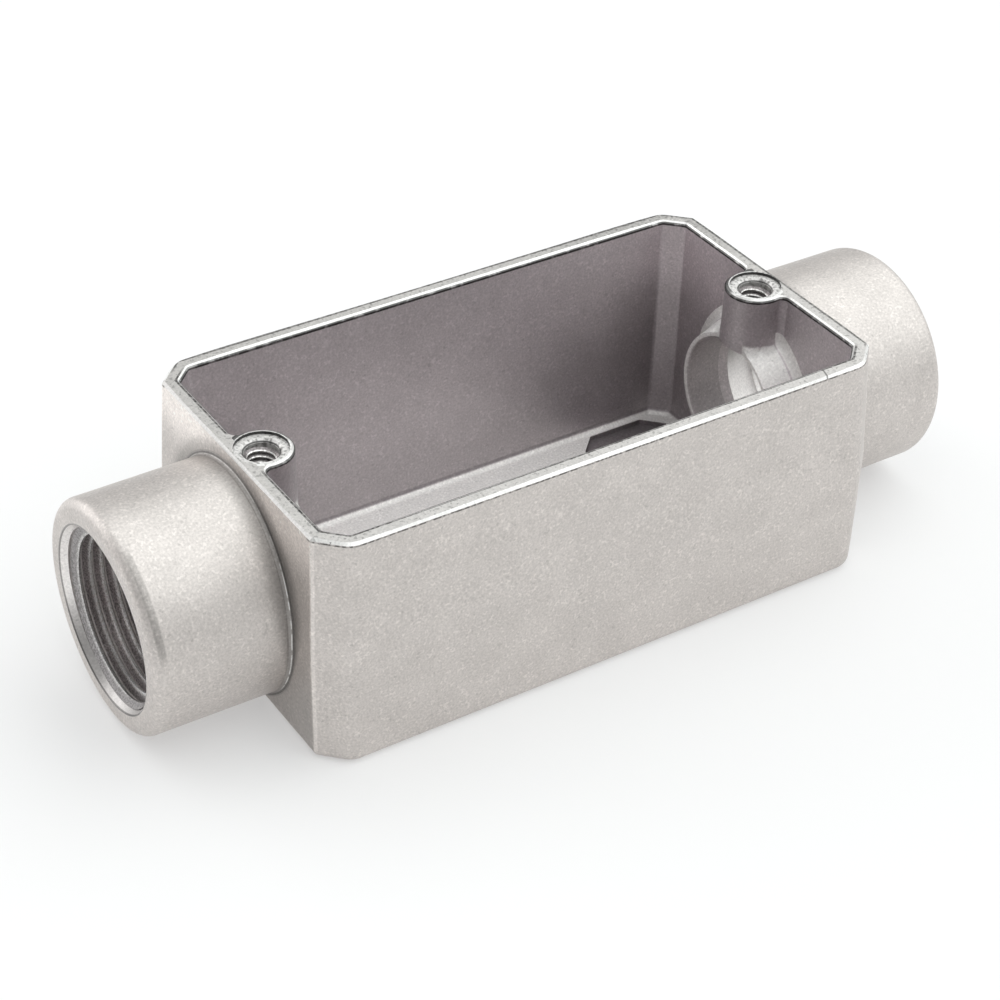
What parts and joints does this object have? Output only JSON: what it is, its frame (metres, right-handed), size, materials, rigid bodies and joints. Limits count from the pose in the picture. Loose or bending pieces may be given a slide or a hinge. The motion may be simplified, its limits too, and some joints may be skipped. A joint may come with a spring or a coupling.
{
  "type": "conduit body",
  "caption": "Open-topped rectangular cast box with cut corners and a threaded conduit hub at each end, for pulling and joining wires under a screwed cover.",
  "frame": {"origin": "on the ground under the middle of the box", "axes": "+X along the two hubs, +Y across the box, +Z out of the open top"},
  "size_m": [0.1726, 0.0676, 0.0475],
  "materials": {
    "cast_aluminium": "shot-blasted casting, satin grey, with a machined rim"
  },
  "bodies": {
    "root": {"conduit_body": "cast_aluminium"}
  },
  "joints": []
}
